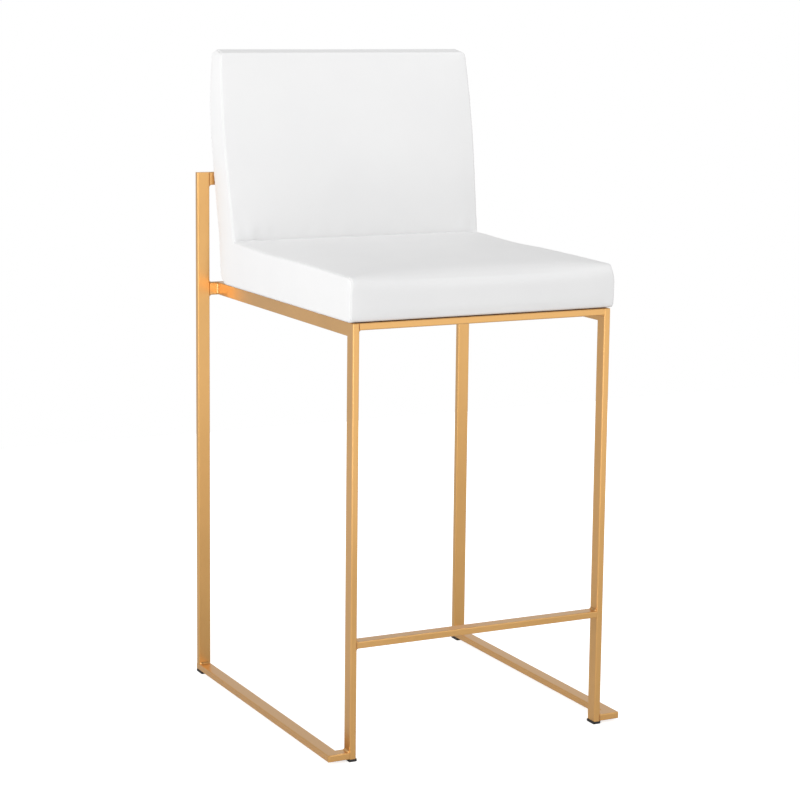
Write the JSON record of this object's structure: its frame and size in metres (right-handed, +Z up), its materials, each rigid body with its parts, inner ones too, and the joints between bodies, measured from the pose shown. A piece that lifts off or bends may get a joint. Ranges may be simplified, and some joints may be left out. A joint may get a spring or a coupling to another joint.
{
  "type": "bar stool",
  "caption": "Counter-height bar stool: thin gold rectangular-tube sled frame with a footrest bar, carrying an L-shaped white padded seat and high back.",
  "frame": {"origin": "centre of the bounding box, on the floor", "axes": "+Z up; the front of the stool faces -Y and its back is towards +Y; +X is to the right when looking at the front"},
  "size_m": [0.46, 0.4854, 0.9457],
  "materials": {
    "gold_paint": "satin gold powder coat",
    "white_leather": "smooth white faux leather, fine grain",
    "black_plastic": "matte moulded",
    "zinc_steel": "zinc plated",
    "black_screw": "black oxide",
    "plywood": "raw birch plywood",
    "foam": "polyurethane foam",
    "dust_fabric": "black non-woven"
  },
  "bodies": {
    "root": {"back_board": "plywood", "back_bolts": "black_screw", "back_cross_rail": "gold_paint", "back_foam": "foam", "back_front_panel": "white_leather", "back_insert_nuts": "zinc_steel", "back_rear_pad": "foam", "back_rear_panel": "white_leather", "bracket_screws": "zinc_steel", "dust_cover": "dust_fabric", "footrest_bar": "gold_paint", "front_left_glide": "black_plastic", "front_left_seat_tab": "gold_paint", "front_right_glide": "black_plastic", "front_right_seat_tab": "gold_paint", "front_seat_rail": "gold_paint", "left_back_leg": "gold_paint", "left_back_leg_cap": "gold_paint", "left_bracket": "zinc_steel", "left_floor_rail": "gold_paint", "left_floor_rail_cap": "gold_paint", "left_front_leg": "gold_paint", "left_front_return": "gold_paint", "left_seat_rail": "gold_paint", "left_side_panel": "white_leather", "rear_left_glide": "black_plastic", "rear_left_seat_tab": "gold_paint", "rear_right_glide": "black_plastic", "rear_right_seat_tab": "gold_paint", "rear_seat_rail": "gold_paint", "right_back_leg": "gold_paint", "right_back_leg_cap": "gold_paint", "right_bracket": "zinc_steel", "right_floor_rail": "gold_paint", "right_floor_rail_cap": "gold_paint", "right_front_leg": "gold_paint", "right_front_return": "gold_paint", "right_seat_rail": "gold_paint", "right_side_panel": "white_leather", "seat_board": "plywood", "seat_bolts": "black_screw", "seat_cover_panel": "white_leather", "seat_foam": "foam", "seat_insert_nuts": "zinc_steel", "seat_washers": "zinc_steel", "staples": "zinc_steel", "weld_beads": "gold_paint"}
  },
  "joints": []
}
